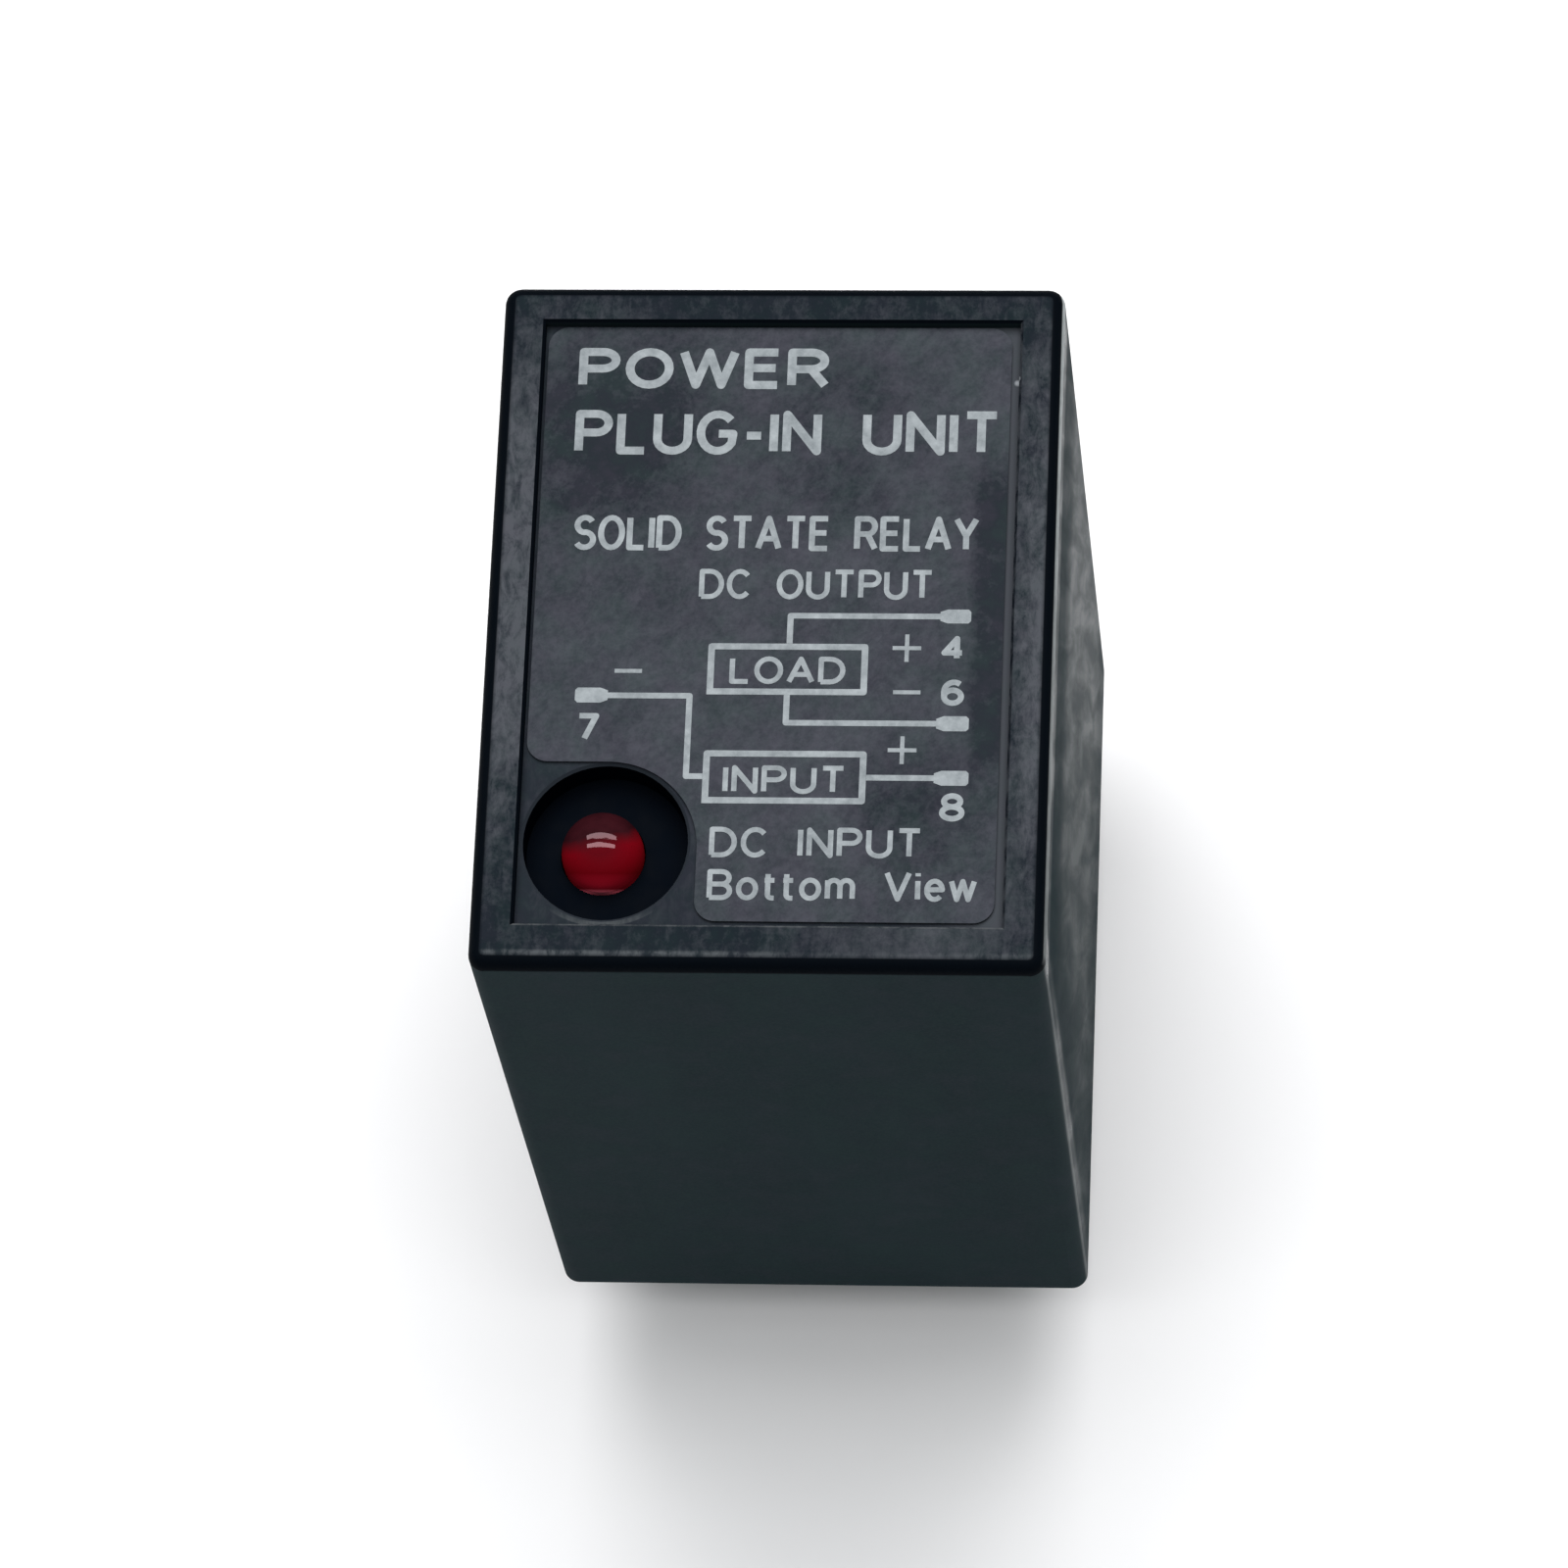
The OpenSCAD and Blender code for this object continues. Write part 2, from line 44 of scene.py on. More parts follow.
# ---- places worked out from the frame ----

CASE_LOW, CASE_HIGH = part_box("case_cover")
LENS_LOW, LENS_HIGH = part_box("lamp_lens")
HOLDER_LOW, HOLDER_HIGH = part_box("lamp_holder")
ROOF_Z = CASE_HIGH.z
FRONT_Y = CASE_LOW.y
LABEL_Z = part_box("label_film")[1].z
FLOOR_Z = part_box("terminal_8")[0].z
LAMP = Vector(((LENS_LOW.x + LENS_HIGH.x) / 2, (LENS_LOW.y + LENS_HIGH.y) / 2, LENS_HIGH.z))
WINDOW = (HOLDER_LOW + HOLDER_HIGH) / 2
DOME_R = 1.55 * MM
FAR_Y = -FRONT_Y

# ---- camera ----

VIEW_AZIMUTH = math.radians(12.84)
VIEW_ELEVATION = math.radians(67.19)
VIEW_ROLL = math.radians(-11.44)
VIEW_DISTANCE = 0.33177
VIEW_AIM = Vector((-0.00088, 0.00077, 0.018))
LENS_MM = 192.24
SENSOR_MM = 36


def make_camera():
    """A long lens, high above the front right corner and turned a little about its own axis."""
    data = bpy.data.cameras.new("camera")
    data.lens = LENS_MM
    data.sensor_width = SENSOR_MM
    data.clip_start, data.clip_end = 0.01, 10
    camera = bpy.data.objects.new("camera", data)
    bpy.context.scene.collection.objects.link(camera)
    flat = math.cos(VIEW_ELEVATION)
    away = Vector((
        math.sin(VIEW_AZIMUTH) * flat,
        -math.cos(VIEW_AZIMUTH) * flat,
        math.sin(VIEW_ELEVATION),
    ))
    turn = (-away).to_track_quat("-Z", "Y").to_matrix().to_4x4() @ Matrix.Rotation(VIEW_ROLL, 4, "Z")
    camera.matrix_world = Matrix.Translation(VIEW_AIM + away * VIEW_DISTANCE) @ turn
    bpy.context.scene.camera = camera


# ---- material helpers ----


TINT_VIOLET, TINT_GREEN = (0.090, 0.056, 0.100), (0.020, 0.080, 0.050)


class Surface:
    """A node material with one Principled shader, and short names for the nodes that feed it."""

    def __init__(self, name, **values):
        self.material = bpy.data.materials.new(name)
        self.material.use_nodes = True
        self.tree = self.material.node_tree
        self.shader = self.tree.nodes["Principled BSDF"]
        for socket, value in values.items():
            self.set(socket.replace("_", " "), value)

    def set(self, socket, value):
        if isinstance(value, tuple) and len(value) == 3:
            value = (*value, 1)
        self.shader.inputs[socket].default_value = value

    def add(self, kind, **values):
        node = self.tree.nodes.new(kind)
        for key, value in values.items():
            setattr(node, key, value)
        return node

    def link(self, out, socket):
        self.tree.links.new(out, socket)

    def place(self, longer=(1, 1, 1), turn=(0, 0, 0)):
        """Object coordinates in metres, on turned axes along which features come out that much longer."""
        source = self.add("ShaderNodeTexCoord")
        mapping = self.add("ShaderNodeMapping", vector_type="TEXTURE")
        mapping.inputs["Scale"].default_value = longer
        mapping.inputs["Rotation"].default_value = turn
        self.link(source.outputs["Object"], mapping.inputs["Vector"])
        return mapping.outputs["Vector"]

    def axis(self, name):
        """One of the object coordinates, in metres."""
        node = self.add("ShaderNodeSeparateXYZ")
        self.link(self.add("ShaderNodeTexCoord").outputs["Object"], node.inputs[0])
        return node.outputs[name]

    def facing(self, name):
        """One part of the surface's own direction, from -1 to 1."""
        node = self.add("ShaderNodeSeparateXYZ")
        self.link(self.add("ShaderNodeTexCoord").outputs["Normal"], node.inputs[0])
        return node.outputs[name]

    def spot(self, x_mm, y_mm, inner_mm, outer_mm):
        """1 within inner_mm of an upright line, falling to 0 at outer_mm."""
        node = self.add("ShaderNodeVectorMath", operation="DISTANCE")
        flat = self.add("ShaderNodeVectorMath", operation="MULTIPLY")
        flat.inputs[1].default_value = (1, 1, 0)
        self.link(self.place(), flat.inputs[0])
        self.link(flat.outputs[0], node.inputs[0])
        node.inputs[1].default_value = (x_mm * MM, y_mm * MM, 0)
        return self.ramp(node.outputs["Value"], inner_mm * MM, outer_mm * MM, 1, 0)

    def noise(self, size_mm, detail=3.0, rough=0.5, longer=(1, 1, 1), distortion=0.0, turn=(0, 0, 0)):
        """Noise whose features are about size_mm across."""
        node = self.add("ShaderNodeTexNoise")
        node.inputs["Scale"].default_value = 1000 / size_mm
        node.inputs["Detail"].default_value = detail
        node.inputs["Roughness"].default_value = rough
        node.inputs["Distortion"].default_value = distortion
        self.link(self.place(longer, turn), node.inputs["Vector"])
        return node.outputs["Fac"]

    def ramp(self, value, low, high, out_low=0.0, out_high=1.0):
        """Maps low..high to out_low..out_high, and holds the ends."""
        node = self.add("ShaderNodeMapRange")
        node.inputs["From Min"].default_value = low
        node.inputs["From Max"].default_value = high
        node.inputs["To Min"].default_value = out_low
        node.inputs["To Max"].default_value = out_high
        self.link(value, node.inputs["Value"])
        return node.outputs["Result"]

    def ramp_mm(self, value, low, high, out_low=0.0, out_high=1.0):
        """The same for a place in metres, with low and high in mm."""
        return self.ramp(value, low * MM, high * MM, out_low, out_high)

    def band(self, value, low, high, soft):
        """1 between low and high, falling to 0 within soft outside them."""
        rising = self.ramp(value, low - soft, low)
        return self.math("MULTIPLY", rising, self.ramp(value, high + soft, high))

    def math(self, operation, a, b):
        node = self.add("ShaderNodeMath", operation=operation)
        for socket, value in zip(node.inputs, (a, b)):
            if isinstance(value, (int, float)):
                socket.default_value = value
            else:
                self.link(value, socket)
        return node.outputs[0]

    def product(self, first, *others):
        """All the numbers multiplied together."""
        for other in others:
            first = self.math("MULTIPLY", first, other)
        return first

    def total(self, first, *others):
        """All the numbers added together."""
        for other in others:
            first = self.math("ADD", first, other)
        return first

    def size(self, value):
        """The number without its sign."""
        return self.math("ABSOLUTE", value, 0)

    def blend(self, factor, first, second):
        """A colour between first and second."""
        node = self.add("ShaderNodeMix", data_type="RGBA")
        self.link(factor, node.inputs["Factor"])
        for name, value in (("A", first), ("B", second)):
            socket = [s for s in node.inputs if s.name == name and s.type == "RGBA"][0]
            if isinstance(value, tuple):
                socket.default_value = (*value, 1)
            else:
                self.link(value, socket)
        return [s for s in node.outputs if s.type == "RGBA"][0]

    def tint(self, colour, size_mm, amount):
        """The colour with a faint play between violet and green, as on handled black plastic."""
        play = self.noise(size_mm, detail=4, rough=0.65)
        colour = self.blend(self.ramp(play, 0.50, 0.64, 0.0, amount), colour, TINT_VIOLET)
        return self.blend(self.ramp(play, 0.50, 0.36, 0.0, amount), colour, TINT_GREEN)

    def mix(self, factor, first, second):
        """A number between first and second."""
        node = self.add("ShaderNodeMix", data_type="FLOAT")
        for socket, value in zip(node.inputs[:1] + node.inputs[2:4], (factor, first, second)):
            self.link(value, socket)
        return node.outputs[0]

    def bump(self, height, depth_mm, after=None):
        node = self.add("ShaderNodeBump")
        node.inputs["Strength"].default_value = 1.0
        node.inputs["Distance"].default_value = depth_mm * MM
        self.link(height, node.inputs["Height"])
        if after is not None:
            self.link(after, node.inputs["Normal"])
        return node.outputs["Normal"]

    def feed(self, socket, out):
        self.link(out, self.shader.inputs[socket])


# ---- materials of the outside ----


# The cover's colours: each pair runs from dark to rubbed or pale. Several of them are painted light and
# shade, as said where they are used.
WALL = (0.0130, 0.0235, 0.0275), (0.0175, 0.0295, 0.0340)
WALL_GRAIN = (0.026, 0.040, 0.045)
CORNER_HIGHLIGHT = (0.120, 0.135, 0.138)
INNER_WALL_SHADE_AND_LIGHT = (0.005, 0.008, 0.012), (0.060, 0.065, 0.076)
RIM = (0.0115, 0.0170, 0.0225), (0.077, 0.083, 0.095)
RECESS_FLOOR_LIT = (0.018, 0.023, 0.030), (0.058, 0.064, 0.074)
RECESS_RUBBED = (0.060, 0.066, 0.076)
LIP_HIGHLIGHT = (0.095, 0.105, 0.112)
RING_HIGHLIGHT = (0.070, 0.079, 0.084)
EDGE_SHADE = (0.0020, 0.0034, 0.0055)
BEVEL_RIGHT_SHADE = (0.006, 0.008, 0.012), (0.040, 0.045, 0.052)
BEVEL_FRONT_LIT = (0.030, 0.036, 0.042), (0.085, 0.092, 0.098)
EDGE_HIGHLIGHT = (0.42, 0.45, 0.45)
CHIPPED = (0.30, 0.32, 0.34)
WINDOW_WALL_SHADE = (0.0006, 0.0016, 0.0040), (0.026, 0.032, 0.040)


class Cover(Surface):
    """Black moulded plastic. The walls have a spark-eroded grain and are rubbed in long streaks. The roof's
    rim is hazy from handling, with painted sheen, and the edges round it carry painted shade, near black, or,
    in places, a painted highlight."""

    def __init__(self):
        super().__init__("case_plastic", Base_Color=(0.006, 0.014, 0.017), Roughness=0.5)
        self.set("Specular IOR Level", 0.012)
        self.across, self.along, self.up = (self.facing(axis) for axis in "XYZ")
        self.x, self.y, self.height = (self.axis(axis) for axis in "XYZ")
        self.cloud = self.noise(5.0, detail=4, rough=0.6, longer=(1, 1, 2.2))
        self.rub = self.noise(0.55, detail=6, rough=0.72, longer=(1, 2.2, 1), distortion=0.4)
        self.grain = self.noise(0.12, detail=2)
        self.rubbed = self.ramp(self.rub, 0.3, 0.6, 0.7, 1.0)
        self.sideways = self.size(self.across)
        outside = self.ramp_mm(self.x, 10.0, 10.3)
        self.right = self.product(self.ramp(self.across, 0.5, 0.6), outside)
        self.right_edge = self.product(
            self.ramp(self.across, 0.70, 0.80),
            self.ramp(self.up, 0.60, 0.48),
            outside,
            self.ramp(self.y, FRONT_Y + 0.35 * MM, FRONT_Y + 0.80 * MM),
        )
        self.inner = self.product(
            self.ramp(self.sideways, 0.5, 0.7),
            self.ramp_mm(self.size(self.x), 10.0, 9.7),
            self.ramp(self.height, ROOF_Z - 0.8 * MM, ROOF_Z - 0.6 * MM),
        )

    def walls(self):
        """The grained sides, a painted highlight on the rounded front right corner, and the recess's two side
        walls with painted shade and painted light.
        """
        colour = self.blend(self.ramp(self.cloud, 0.3, 0.7), *WALL)
        colour = self.blend(self.ramp(self.grain, 0.3, 0.7, 0.0, 0.3), colour, WALL_GRAIN)
        colour = self.tint(colour, 2.2, 0.035)
        # Painted highlight: the front right corner is painted pale where it catches the light, a little
        # uneven with rub noise.
        corner = self.product(
            self.right,
            self.ramp(self.along, -0.46, -0.32),
            self.ramp(self.along, -0.02, -0.12),
            self.rubbed,
        )
        colour = self.blend(corner, colour, CORNER_HIGHLIGHT)
        # Painted shade and light: the recess's left wall is painted near black and its right wall pale, for
        # how the light falls on each.
        return self.blend(self.inner, colour, self.blend(self.ramp_mm(self.x, 0, 1), *INNER_WALL_SHADE_AND_LIGHT))

    def roof(self):
        """The rim, hazy from handling and with painted sheen, the recess's floor with painted light toward
        its right wall, and painted highlights along the front lip and on the ring round the window.
        """
        speck = self.noise(0.26, detail=4, rough=0.7)
        # Partly hazy from handling, in the rub and speck noise, and partly painted sheen: three placed spots
        # lighten the rim at the left, at the right and at the front right.
        haze_and_sheen = self.total(
            self.product(self.spot(-10.1, 1.5, 3.0, 13.0), self.ramp(self.rub, 0.36, 0.64, 0.50, 1.25)),
            self.product(
                self.spot(10.6, 0.5, 5.0, 14.5),
                self.ramp_mm(self.x, 9.0, 10.2, 0.35, 1.0),
                self.ramp(self.rub, 0.36, 0.64, 0.50, 1.15),
            ),
            self.product(self.spot(5.5, -12.3, 1.5, 6.0), 0.40),
            self.ramp(self.rub, 0.35, 0.68, -0.16, 0.28),
            self.ramp(speck, 0.38, 0.62, -0.10, 0.10),
        )
        colour = self.blend(haze_and_sheen, *RIM)
        # Painted light: the recess's floor is painted paler toward its right wall, against the shade that
        # falls in that strip.
        floor = self.blend(self.ramp_mm(self.x, 6.0, 8.9), *RECESS_FLOOR_LIT)
        floor = self.blend(self.ramp(self.rub, 0.45, 0.7, 0.0, 0.3), floor, RECESS_RUBBED)
        colour = self.blend(self.ramp(self.height, ROOF_Z - 0.2 * MM, ROOF_Z - 0.4 * MM), colour, floor)
        colour = self.tint(colour, 1.1, 0.045)
        # Painted highlight: a pale line along the rim's front edge, strongest at the left, uneven with rub
        # noise.
        lip = self.product(
            self.band(self.y, FRONT_Y + 0.50 * MM, FRONT_Y + 0.62 * MM, 0.10 * MM),
            self.ramp(self.rub, 0.42, 0.60, 0.1, 1.0),
            self.total(self.ramp_mm(self.x, -1.0, 2.0, 0.75, 0.25), self.ramp_mm(self.x, 6, 8, 0, 0.2)),
        )
        colour = self.blend(lip, colour, LIP_HIGHLIGHT)
        # Painted highlight: a thin pale arc on the front side of the window's rim.
        ring = self.product(
            self.spot(WINDOW.x / MM, WINDOW.y / MM, 3.36, 3.40),
            self.ramp(self.y, WINDOW.y - 2.7 * MM, WINDOW.y - 3.2 * MM),
            self.ramp(self.rub, 0.35, 0.6, 0.35, 1.0),
        )
        return self.blend(ring, colour, RING_HIGHLIGHT)

    def edges(self):
        """Painted shade: the rounded edges, and the recess's left bevel, are painted near black; the recess's
        right bevel is painted shade with paler patches, and its front bevel is painted light.
        """
        colour = self.blend(
            self.ramp(self.across, -0.3, -0.6),
            EDGE_SHADE,
            self.blend(self.ramp(self.rub, 0.42, 0.6), *BEVEL_RIGHT_SHADE),
        )
        front = self.blend(self.ramp(self.rub, 0.4, 0.6), *BEVEL_FRONT_LIT)
        colour = self.blend(self.ramp(self.along, 0.3, 0.6), colour, front)
        in_recess = self.product(
            self.ramp_mm(self.size(self.x), 9.6, 9.4),
            self.ramp_mm(self.size(self.y), 13.0, 12.8),
        )
        return self.blend(in_recess, EDGE_SHADE, colour)

    def wear(self, colour):
        """A painted highlight along the right edge of the roof, stronger toward the back and ragged with rub
        noise, and one chip in the recess's right wall.
        """
        ragged = self.total(self.height, self.ramp(self.rub, 0.3, 0.7, -0.10 * MM, 0.14 * MM))
        edge_highlight = self.product(
            self.right_edge,
            self.ramp(ragged, ROOF_Z - 0.74 * MM, ROOF_Z - 0.50 * MM),
            self.ramp(self.y, FRONT_Y, FAR_Y, 0.42, 1.0),
            self.rubbed,
        )
        colour = self.blend(edge_highlight, colour, EDGE_HIGHLIGHT)
        chip = self.product(
            self.spot(9.02, 10.13, 0.06, 0.15),
            self.ramp(self.height, ROOF_Z - 0.7 * MM, ROOF_Z - 0.5 * MM),
        )
        return self.blend(chip, colour, CHIPPED)

    def window(self, colour):
        """Painted shade: the round window's wall is painted near black, darker than the rest, with a paler
        bevel at its floor.
        """
        shade = self.blend(self.ramp(self.up, 0.3, 0.5), *WINDOW_WALL_SHADE)
        inside = self.product(
            self.spot(WINDOW.x / MM, WINDOW.y / MM, 3.26, 3.30),
            self.ramp(self.height, ROOF_Z - 0.45 * MM, ROOF_Z - 0.495 * MM),
            self.ramp(self.up, 0.95, 0.9),
        )
        return self.blend(inside, colour, shade)

    def side_roughness(self):
        """The two sides: streaks, smooth at the front corner, rougher toward the front and below the roof."""
        streak = self.noise(
            1.5, detail=4, rough=0.55, longer=(1, 1, 6), distortion=0.4, turn=(math.radians(23), 0, 0))
        rough = self.total(
            self.ramp_mm(self.y, 0, 8, 0.45, 0.385),
            self.product(
                self.ramp_mm(self.y, -5, -9.5, 0.0, 0.23),
                self.ramp_mm(self.height, 2, 20, 0.2, 1.0),
            ),
            self.ramp_mm(self.height, 26, 30, 0.0, 0.19),
            self.product(
                self.ramp_mm(self.height, 33.2, 34.3, 0.0, -0.26),
                self.ramp_mm(self.y, -4, -9, 1.0, 1.45),
            ),
            self.ramp_mm(self.height, 8, 2, 0.0, 0.10),
            self.ramp(streak, 0.36, 0.64, 0.075, -0.075),
        )
        shine = self.product(
            self.ramp(self.y, FRONT_Y + 2.1 * MM, FRONT_Y + 1.4 * MM, 0, 0.3),
            self.ramp_mm(self.height, 8, 15, 0.45, 1.0),
        )
        rough = self.math("SUBTRACT", rough, self.product(self.right, shine))
        return self.math("MAXIMUM", rough, self.inner)


def case_plastic():
    s = Cover()
    # The rounded edges and bevels, between walls and roof, take the painted shade and light of edges().
    edges = s.blend(s.ramp(s.up, 0.975, 0.9995), s.edges(), s.roof())
    colour = s.blend(s.ramp(s.up, 0.06, 0.16), s.walls(), edges)
    # wear() paints a highlight along the roof's right edge and adds a chip; window() paints shade into the
    # window's wall.
    s.feed("Base Color", s.window(s.wear(colour)))
    dull = s.math("SUBTRACT", s.ramp(s.cloud, 0.3, 0.7, 0.60, 0.64), s.ramp(s.up, 0.1, 0.9, 0.0, 0.14))
    s.feed("Roughness", s.mix(s.ramp(s.sideways, 0.80, 0.98), dull, s.side_roughness()))
    s.feed("Normal", s.bump(s.grain, 0.003, after=s.bump(s.rub, 0.004)))
    return s.material


def base_plastic():
    """The base is the same plastic, a little greyer and duller."""
    s = Surface("base_plastic", Base_Color=(0.020, 0.022, 0.024), Roughness=0.5)
    cloud = s.noise(4.0, detail=4)
    s.feed("Base Color", s.blend(s.ramp(cloud, 0.3, 0.7), (0.016, 0.018, 0.020), (0.028, 0.030, 0.032)))
    s.feed("Roughness", s.ramp(cloud, 0.3, 0.7, 0.42, 0.58))
    s.feed("Normal", s.bump(s.noise(0.15, detail=3), 0.006))
    return s.material


def epoxy():
    """Hard black epoxy, wavy where it set."""
    s = Surface("epoxy", Base_Color=(0.008, 0.008, 0.010), Roughness=0.18)
    s.feed("Roughness", s.ramp(s.noise(1.5), 0.3, 0.7, 0.12, 0.3))
    s.feed("Normal", s.bump(s.noise(1.2, detail=2), 0.12))
    return s.material


LABEL_COLOURS = (0.0040, 0.0090, 0.0160), (0.0540, 0.0600, 0.0730)


def label_plastic():
    """Dark printed film with a satin face, smeared and rubbed from handling; lighter in one given spot near
    the top right, and darker in a few others and along the right margin.
    """
    s = Surface("label_plastic", Base_Color=(0.016, 0.019, 0.033), Roughness=0.42)
    s.set("Specular IOR Level", 0.08)
    cloud = s.noise(4.5, detail=5, rough=0.6, distortion=0.6)
    smear = s.noise(1.0, detail=6, rough=0.7, longer=(1, 1.7, 1), turn=(0, 0, -0.7), distortion=0.8)
    speck = s.noise(0.24, detail=4, rough=0.7)
    x, y = s.axis("X"), s.axis("Y")
    ragged = s.total(x, s.ramp(smear, 0.3, 0.7, -0.4 * MM, 0.4 * MM))
    margin = s.product(s.ramp_mm(ragged, 7.3, 7.9), s.ramp_mm(y, 7.5, 5.5), s.ramp_mm(y, -8.0, -5.0))
    rubbed = s.total(
        s.ramp(cloud, 0.36, 0.64, 0.0, 0.34),
        s.ramp(smear, 0.38, 0.62, -0.03, 0.41),
        s.ramp(speck, 0.38, 0.62, -0.06, 0.34),
        s.product(s.spot(6.5, 10.2, 0.5, 3.5), 0.12),
    )
    darker_places = s.total(
        s.product(margin, 0.85),
        s.product(s.spot(-6.6, 8.0, 1.2, 5.4), 0.95),
        s.product(s.spot(5.4, -7.2, 0.5, 3.0), 0.75),
        s.product(s.spot(2.5, 7.9, 1.5, 5.0), 0.35),
    )
    tone = s.math("SUBTRACT", rubbed, darker_places)
    s.feed("Base Color", s.tint(s.blend(s.ramp(tone, -0.30, 1.0), *LABEL_COLOURS), 1.6, 0.09))
    s.feed("Roughness", s.ramp(tone, 0.0, 1.0, 0.38, 0.48))
    s.feed("Normal", s.bump(speck, 0.003, after=s.bump(s.noise(2.4, detail=2), 0.006)))
    return s.material


INK_COLOURS = (0.185, 0.212, 0.226), (0.365, 0.402, 0.418)


def ink():
    """Pale screen-printed ink, thin in places."""
    s = Surface("ink", Base_Color=(0.50, 0.54, 0.56), Roughness=0.6)
    s.set("Specular IOR Level", 0.3)
    wear = s.noise(0.6, detail=4, rough=0.7)
    s.feed("Base Color", s.blend(s.ramp(wear, 0.3, 0.68), *INK_COLOURS))
    s.feed("Roughness", s.ramp(wear, 0.3, 0.7, 0.5, 0.65))
    s.feed("Normal", s.bump(s.noise(0.1), 0.002))
    return s.material


# The lamp's painted light and shade: the lit part, paler at its edge than in its middle, the painted glow low
# down, the painted shade over the upper part, from dark to paler, and a painted highlight on the rim at the
# bottom.
LAMP_LIT = (0.037, 0.0006, 0.0018), (0.0165, 0.0004, 0.0012)
LAMP_GLOW = (0.120, 0.0040, 0.0105)
LAMP_SHADE = (0.0034, 0.0010, 0.0014), (0.0056, 0.0015, 0.0021)
LAMP_RIM_HIGHLIGHT = (0.620, 0.140, 0.190)

# How fast the height on the lens rises along y and z, and how much the painted shade's edge leans along x.
RISE_Y, RISE_Z, LEAN_X = 0.92, 0.39, -0.20


def red_epoxy():
    """Tinted epoxy of the lamp: painted shade over its upper part, painted light below it with a painted glow
    low down, and a painted highlight on its bottom rim.
    """
    s = Surface("red_epoxy", Base_Color=(0.05, 0.001, 0.002), Roughness=0.12)
    s.set("Specular IOR Level", 0.0)
    s.set("Coat Weight", 0.12)
    s.set("Coat Roughness", 0.02)
    depth = s.noise(0.7, detail=3)
    rise = s.total(
        s.product(s.math("SUBTRACT", s.axis("Y"), LAMP.y), RISE_Y),
        s.product(s.math("SUBTRACT", s.axis("Z"), LAMP.z - DOME_R), RISE_Z),
    )
    lean = s.product(s.math("SUBTRACT", s.axis("X"), LAMP.x), LEAN_X)
    wavy = s.total(rise, lean, s.ramp(depth, 0.3, 0.7, -0.08 * MM, 0.08 * MM))
    lit = s.blend(s.spot(LAMP.x / MM, LAMP.y / MM, 0.6, 1.5), *LAMP_LIT)
    lit = s.blend(s.ramp_mm(rise, -0.7, -1.42), lit, LAMP_GLOW)
    colour = s.blend(s.ramp_mm(wavy, 0.20, 0.72), lit, s.blend(s.ramp(depth, 0.3, 0.7), *LAMP_SHADE))
    s.feed("Base Color", s.blend(s.ramp_mm(rise, -1.30, -1.42), colour, LAMP_RIM_HIGHLIGHT))
    s.feed("Roughness", s.ramp(depth, 0.3, 0.7, 0.10, 0.16))
    return s.material


def holder_plastic():
    """Black plastic, so that no stray light shows, painted far darker than black plastic as painted shade for
    the deep hole round the lamp.
    """
    s = Surface("holder_plastic", Base_Color=(0.001, 0.003, 0.007), Roughness=0.7)
    s.set("Specular IOR Level", 0.03)
    cloud = s.noise(1.0)
    s.feed("Base Color", s.blend(s.ramp(cloud, 0.3, 0.7), (0.0005, 0.0018, 0.0042), (0.0010, 0.0025, 0.0054)))
    s.feed("Roughness", s.ramp(cloud, 0.3, 0.7, 0.6, 0.8))
    s.feed("Normal", s.bump(s.noise(0.1), 0.004))
    return s.material


def metal(name, dark, light, low, high, grain=(1, 1, 1), depth_mm=0.004):
    """A plain metal, brushed along one axis and a little tarnished."""
    s = Surface(name, Base_Color=light, Metallic=1.0, Roughness=high)
    drawn = s.noise(0.25, detail=4, rough=0.6, longer=grain)
    cloud = s.noise(2.0, detail=4, rough=0.6)
    s.feed("Base Color", s.blend(s.ramp(cloud, 0.35, 0.7), dark, light))
    s.feed("Roughness", s.math("ADD", s.ramp(drawn, 0.3, 0.7, low, high), s.ramp(cloud, 0.4, 0.8, 0.0, 0.1)))
    s.feed("Normal", s.bump(drawn, depth_mm))
    return s.material


# ---- materials of the inside ----


def moulded(name, dark, light, rough, speck=0.2, depth_mm=0.004):
    """A moulded or dipped part: two close shades, a fine skin and an uneven gloss."""
    s = Surface(name, Base_Color=light, Roughness=rough)
    cloud = s.noise(1.4, detail=4, rough=0.6)
    s.feed("Base Color", s.blend(s.ramp(cloud, 0.3, 0.7), dark, light))
    s.feed("Roughness", s.ramp(cloud, 0.3, 0.7, rough - 0.08, rough + 0.08))
    s.feed("Normal", s.bump(s.noise(speck, detail=2), depth_mm))
    return s.material


WEAVE_SCALE = 420


def board():
    """Glass-fibre board under green mask: the weave shows faintly."""
    s = Surface("board", Base_Color=(0.02, 0.12, 0.05), Roughness=0.35)
    weave = s.add("ShaderNodeTexWave", wave_type="BANDS", bands_direction="Y")
    cross = s.add("ShaderNodeTexWave", wave_type="BANDS", bands_direction="Z")
    for wave in (weave, cross):
        wave.inputs["Scale"].default_value = WEAVE_SCALE
        wave.inputs["Distortion"].default_value = 0.6
        s.link(s.place(), wave.inputs["Vector"])
    both = s.math("MULTIPLY", weave.outputs["Fac"], cross.outputs["Fac"])
    s.feed("Base Color", s.blend(s.ramp(both, 0.0, 1.0), (0.010, 0.085, 0.035), (0.022, 0.130, 0.055)))
    s.feed("Roughness", s.ramp(s.noise(1.0), 0.3, 0.7, 0.28, 0.42))
    s.feed("Normal", s.bump(both, 0.01))
    return s.material


BAND_SOFT = 0.04  # mm


